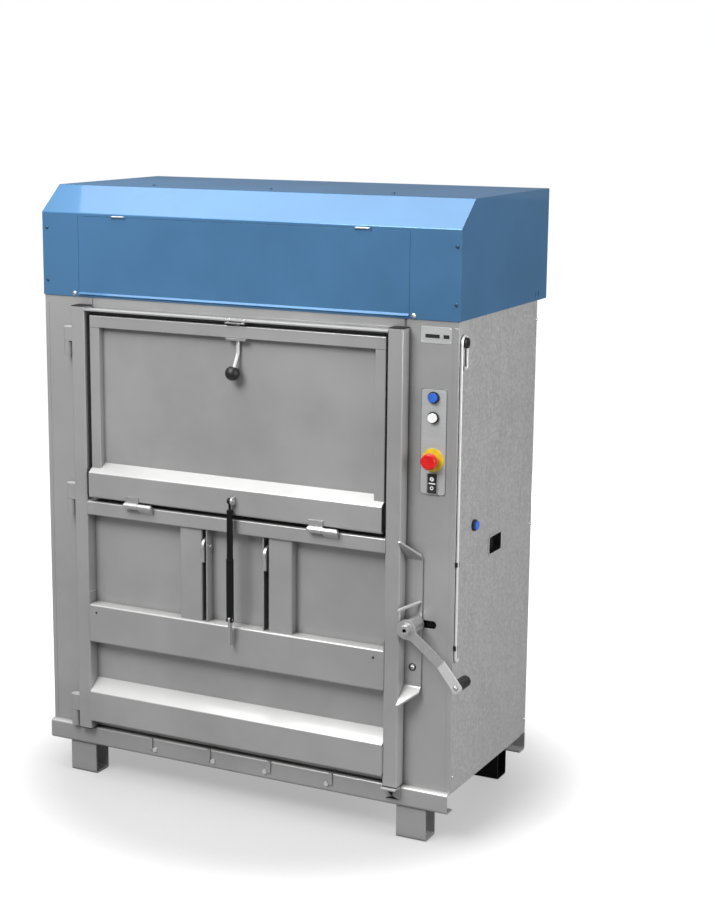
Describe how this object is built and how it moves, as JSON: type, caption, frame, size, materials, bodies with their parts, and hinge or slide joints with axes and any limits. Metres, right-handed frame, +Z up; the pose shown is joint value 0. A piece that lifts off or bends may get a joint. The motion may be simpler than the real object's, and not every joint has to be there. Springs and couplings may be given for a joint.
{
  "type": "recycling baler",
  "caption": "Upright recycling baler with a front door, a fold-down feed hatch, a telescopic press under a blue hood, a lock lever and front controls.",
  "frame": {"origin": "on the floor, at the centre of the four feet", "axes": "+X to the machine's right as seen from the front, +Y to its back, +Z up"},
  "size_m": [1.5617, 0.8165, 2],
  "materials": {
    "grey_paint": "semi-gloss",
    "blue_paint": "semi-gloss",
    "black_paint": "satin",
    "galvanised": "bright zinc with a vertical grain",
    "zinc": "bright zinc plate",
    "bare_steel": "mill finish",
    "brushed_plate": "brushed",
    "black_plastic": "matte",
    "yellow_plastic": "gloss",
    "red_plastic": "gloss",
    "blue_plastic": "gloss",
    "white_plastic": "gloss"
  },
  "bodies": {
    "cabinet": {"base_frame": "grey_paint", "front_feet": "grey_paint", "rear_feet": "black_paint", "press_frame": "grey_paint", "side_panel_left": "galvanised", "side_panel_right": "galvanised", "back_panel": "galvanised", "front_panel_left": "grey_paint", "front_panel_right": "grey_paint", "lintel_panel": "grey_paint", "hood": "blue_paint", "flap_hinge_leaves": "zinc", "chamber_floor": "bare_steel", "chamber_walls": "bare_steel", "cylinder_barrel": "black_paint", "power_unit": "black_paint", "control_box": "grey_paint", "control_plate": "brushed_plate", "button_bezels": "zinc", "stop_collar": "yellow_plastic", "side_grip_cup": "black_plastic", "door_rest": "black_paint", "door_hinge_pins": "grey_paint", "strap_hooks": "black_paint", "tool_peg": "black_plastic", "strap_tool": "zinc"},
    "door": {"door_stiles": "grey_paint", "stile_caps": "black_plastic", "door_hinge_knuckles": "grey_paint", "top_tie": "grey_paint", "door_skin": "grey_paint", "door_top_rail": "grey_paint", "door_cross_member": "grey_paint", "door_bottom_member": "grey_paint", "strap_channels": "grey_paint", "hatch_hinge_leaves": "zinc", "lock_ear": "grey_paint"},
    "hatch": {"hatch_panel": "grey_paint", "hatch_frame": "grey_paint", "hatch_bottom_member": "grey_paint", "hatch_hinge_knuckles": "zinc"},
    "hatch_latch": {"latch_rod": "zinc", "latch_knob": "black_plastic"},
    "door_lever": {"lever_arm": "zinc", "lever_grip": "black_plastic", "lever_shaft": "zinc"},
    "strut_cover": {"strut_cover": "black_paint"},
    "strut_cylinder": {"strut_cylinder": "black_paint"},
    "strap_cam_left": {"strap_cam_left": "zinc"},
    "strap_cam_right": {"strap_cam_right": "zinc"},
    "hood_flap": {"hood_flap": "blue_paint"},
    "stage_1": {"stage_1": "zinc"},
    "stage_2": {"stage_2": "zinc"},
    "ram": {"press_rod": "zinc", "press_plate": "bare_steel"},
    "blue_button": {"blue_button": "blue_plastic"},
    "white_button": {"white_button": "white_plastic"},
    "stop_button": {"stop_button": "red_plastic"},
    "power_switch": {"power_switch": "black_plastic"},
    "side_button": {"side_button": "blue_plastic"}
  },
  "joints": [
    {"name": "door_hinge", "type": "hinge", "parent": "cabinet", "child": "door", "pos_m": [-0.631, -0.356, 0.9], "axis": [0, 0, -1], "range_deg": [0, 145]},
    {"name": "hatch_hinge", "type": "hinge", "parent": "door", "child": "hatch", "pos_m": [0, -0.394, 0.9765], "axis": [1, 0, 0], "range_deg": [0, 90]},
    {"name": "latch_slide", "type": "slide", "parent": "hatch", "child": "hatch_latch", "axis": [0, 0, 1], "range_m": [0, 0.012]},
    {"name": "lever_turn", "type": "hinge", "parent": "door", "child": "door_lever", "pos_m": [0.624, -0.41, 0.706], "axis": [0, -1, 0], "range_deg": [0, 90]},
    {"name": "strut_tilt", "type": "hinge", "parent": "door", "child": "strut_cover", "pos_m": [0.002, -0.402, 0.648], "axis": [1, 0, 0], "range_deg": [0, 9.5]},
    {"name": "strut_slide", "type": "slide", "parent": "strut_cover", "child": "strut_cylinder", "axis": [0, 0, -1], "range_m": [0, 0.065]},
    {"name": "cam_left_turn", "type": "hinge", "parent": "door", "child": "strap_cam_left", "pos_m": [-0.114, -0.35, 0.865], "axis": [-1, 0, 0], "range_deg": [0, 60]},
    {"name": "cam_right_turn", "type": "hinge", "parent": "door", "child": "strap_cam_right", "pos_m": [0.114, -0.35, 0.865], "axis": [-1, 0, 0], "range_deg": [0, 60]},
    {"name": "flap_hinge", "type": "hinge", "parent": "cabinet", "child": "hood_flap", "pos_m": [0, -0.3335, 1.908], "axis": [-1, 0, 0], "range_deg": [0, 100]},
    {"name": "ram_slide", "type": "slide", "parent": "cabinet", "child": "ram", "axis": [0, 0, -1], "range_m": [0, 0.66]},
    {"name": "stage_1_slide", "type": "slide", "parent": "cabinet", "child": "stage_1", "axis": [0, 0, -1], "range_m": [0, 0.22]},
    {"name": "stage_2_slide", "type": "slide", "parent": "cabinet", "child": "stage_2", "axis": [0, 0, -1], "range_m": [0, 0.44]},
    {"name": "blue_button_slide", "type": "slide", "parent": "cabinet", "child": "blue_button", "axis": [0, 1, 0], "range_m": [0, 0.005], "stiffness_N_per_m": 400},
    {"name": "white_button_slide", "type": "slide", "parent": "cabinet", "child": "white_button", "axis": [0, 1, 0], "range_m": [0, 0.005], "stiffness_N_per_m": 400},
    {"name": "stop_button_slide", "type": "slide", "parent": "cabinet", "child": "stop_button", "axis": [0, 1, 0], "range_m": [0, 0.006]},
    {"name": "power_switch_rock", "type": "hinge", "parent": "cabinet", "child": "power_switch", "pos_m": [0.6665, -0.33, 1.15], "axis": [1, 0, 0], "range_deg": [-8, 8]},
    {"name": "side_button_slide", "type": "slide", "parent": "cabinet", "child": "side_button", "axis": [-1, 0, 0], "range_m": [0, 0.005], "stiffness_N_per_m": 400}
  ],
  "couplings": [
    {"joint": "strut_tilt", "follows": "hatch_hinge", "ratio": 0.10336},
    {"joint": "strut_slide", "follows": "hatch_hinge", "m_per_rad": 0.04089},
    {"joint": "stage_1_slide", "follows": "ram_slide", "ratio": 0.3333},
    {"joint": "stage_2_slide", "follows": "ram_slide", "ratio": 0.6666}
  ]
}
